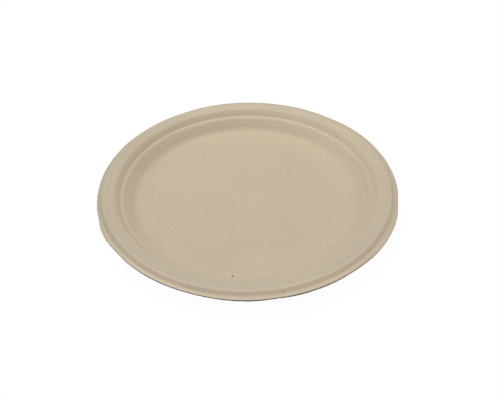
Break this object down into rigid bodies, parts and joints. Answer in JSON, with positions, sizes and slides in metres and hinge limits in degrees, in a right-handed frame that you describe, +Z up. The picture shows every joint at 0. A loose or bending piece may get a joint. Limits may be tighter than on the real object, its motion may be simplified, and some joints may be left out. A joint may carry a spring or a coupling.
{
  "type": "round moulded fibre plate",
  "caption": "Shallow round disposable plate pressed from plant fibre, with a flat floor, a stepped wall, a broad rolled rim and a narrow outer lip.",
  "frame": {"origin": "centre of the plate on the surface that it stands on", "axes": "+Z up along the plate's axis, from the underside to the open top; the plate is turned about Z"},
  "size_m": [0.2286, 0.2286, 0.0144],
  "materials": {
    "moulded_fibre": "matt unbleached plant fibre pulp, pressed smooth above and with a fine screen mark below"
  },
  "bodies": {
    "root": {"plate": "moulded_fibre"}
  },
  "joints": []
}
